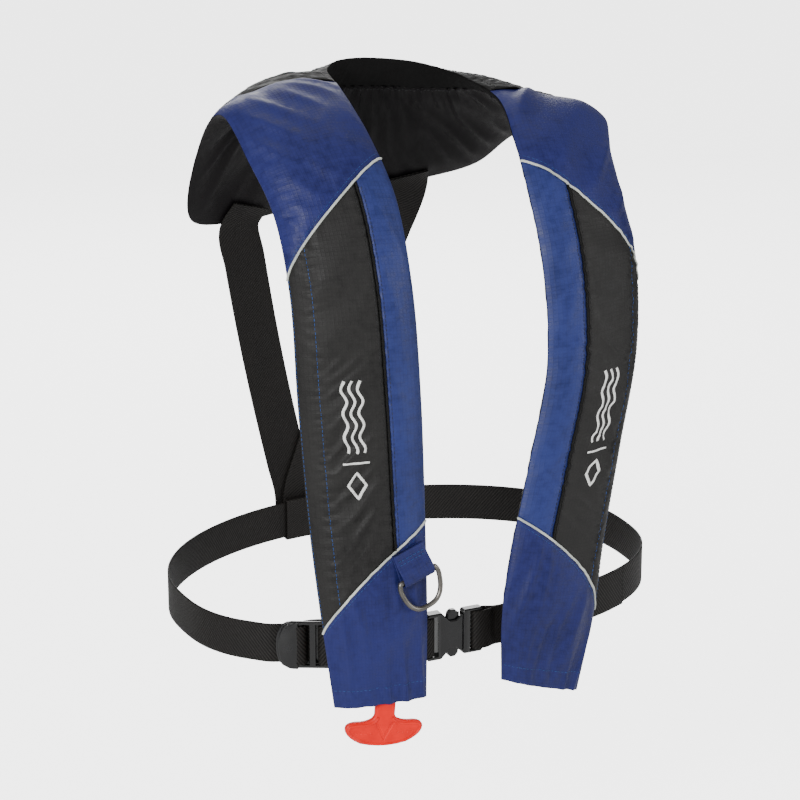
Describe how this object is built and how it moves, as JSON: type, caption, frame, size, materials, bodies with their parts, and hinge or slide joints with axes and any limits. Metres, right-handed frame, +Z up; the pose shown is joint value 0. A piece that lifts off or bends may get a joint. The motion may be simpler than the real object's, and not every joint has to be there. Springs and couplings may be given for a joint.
{
  "type": "inflatable life jacket",
  "caption": "Horseshoe inflatable life jacket with padded front lobes, neck yoke, buckled waist belt, crossed back straps, pull handle and tether ring.",
  "frame": {"origin": "middle of the neck opening at shoulder height", "axes": "+X to the wearer's left, -Y the way the wearer faces, +Z up"},
  "size_m": [0.475, 0.4001, 0.5968],
  "materials": {
    "blue": "ripstop cover fabric",
    "black": "ripstop cover fabric, black",
    "webbing": "woven belt webbing",
    "lining": "smooth lining fabric",
    "piping": "reflective piping",
    "plastic": "black moulded plastic",
    "steel": "satin steel",
    "red": "red-orange moulded plastic",
    "bladder": "coated bladder fabric",
    "green": "green plastic",
    "clear": "pale plastic"
  },
  "bodies": {
    "jacket": {"shoulder_panel_R": "blue", "outer_panel_R": "black", "inner_panel_R": "blue", "lower_panel_R": "blue", "lobe_lining_R": "lining", "high_piping_R": "piping", "low_piping_R": "piping", "seam_piping_R": "black", "closure_hook_R": "black", "closure_loop_R": "black", "shoulder_panel_L": "blue", "outer_panel_L": "black", "inner_panel_L": "blue", "lower_panel_L": "blue", "lobe_lining_L": "lining", "high_piping_L": "piping", "low_piping_L": "piping", "seam_piping_L": "black", "closure_hook_L": "black", "closure_loop_L": "black", "yoke_outer": "black", "yoke_lining": "lining", "neck_band": "webbing", "bladder": "bladder", "belt_adjuster": "plastic", "buckle_female": "plastic", "belt": "webbing", "front_strap_R": "webbing", "front_strap_L": "webbing", "back_strap_R": "webbing", "back_strap_L": "webbing", "belt_keeper_R": "webbing", "belt_keeper_L": "webbing", "back_keeper": "webbing", "ring_tab": "blue", "inflator_body": "black", "lever_pin": "steel", "status_indicator": "green", "inflator_flange": "plastic", "oral_tube": "black", "oral_valve": "plastic", "whistle": "red", "whistle_cord": "webbing"},
    "handle": {"pull_handle": "red", "pull_cord": "red"},
    "lever": {"firing_lever": "plastic"},
    "pin": {"piercing_pin": "steel"},
    "ring": {"d_ring": "steel"},
    "male": {"buckle_male": "plastic"},
    "prong_up": {"buckle_prong_upper": "plastic"},
    "prong_low": {"buckle_prong_lower": "plastic"},
    "dust": {"dust_cap": "red"},
    "valve": {"valve_poppet": "red"},
    "cylinder": {"gas_cylinder": "steel"},
    "sensor": {"water_sensor_cap": "clear"}
  },
  "joints": [
    {"name": "handle_pull", "type": "slide", "parent": "jacket", "child": "handle", "axis": [0, 0, -1], "range_m": [0, 0.035], "deforming": ["pull_cord"]},
    {"name": "lever_swing", "type": "hinge", "parent": "jacket", "child": "lever", "pos_m": [-0.13789, -0.17816, -0.43794], "axis": [-0.1667, -0.978, 0.1254], "range_deg": [0, 101]},
    {"name": "pin_strike", "type": "slide", "parent": "jacket", "child": "pin", "axis": [-0.0161, 0.1299, 0.9914], "range_m": [0, 0.0036]},
    {"name": "ring_swing", "type": "hinge", "parent": "jacket", "child": "ring", "pos_m": [-0.07703, -0.20293, -0.41524], "axis": [-0.9558, -0.0415, -0.291], "range_deg": [0, 115]},
    {"name": "buckle_release", "type": "slide", "parent": "jacket", "child": "male", "axis": [1, 0, 0], "range_m": [0, 0.03], "deforming": ["front_strap_L"]},
    {"name": "prong_upper_squeeze", "type": "hinge", "parent": "male", "child": "prong_up", "pos_m": [-0.0138, -0.163, -0.484], "axis": [0, -1, 0], "range_deg": [0, 9], "stiffness_Nm_per_rad": 0.3},
    {"name": "prong_lower_squeeze", "type": "hinge", "parent": "male", "child": "prong_low", "pos_m": [-0.0138, -0.163, -0.506], "axis": [0, 1, 0], "range_deg": [0, 9], "stiffness_Nm_per_rad": 0.3},
    {"name": "dust_cap_pull", "type": "slide", "parent": "jacket", "child": "dust", "axis": [0.2486, 0.0988, 0.9635], "range_m": [0, 0.018]},
    {"name": "valve_press", "type": "slide", "parent": "jacket", "child": "valve", "axis": [-0.2486, -0.0988, -0.9635], "range_m": [0, 0.003], "stiffness_N_per_m": 200},
    {"name": "cylinder_turn", "type": "hinge", "parent": "jacket", "child": "cylinder", "pos_m": [-0.11815, -0.1738, -0.37767], "axis": [-0.0161, 0.1299, 0.9914], "continuous": true},
    {"name": "sensor_cap_turn", "type": "hinge", "parent": "jacket", "child": "sensor", "pos_m": [-0.08182, -0.18643, -0.42788], "axis": [0.9859, -0.1632, 0.0374], "continuous": true}
  ],
  "couplings": [
    {"joint": "lever_swing", "follows": "handle_pull", "rad_per_m": 50},
    {"joint": "pin_strike", "follows": "handle_pull", "ratio": 0.1},
    {"joint": "prong_lower_squeeze", "follows": "prong_upper_squeeze", "ratio": 1}
  ]
}
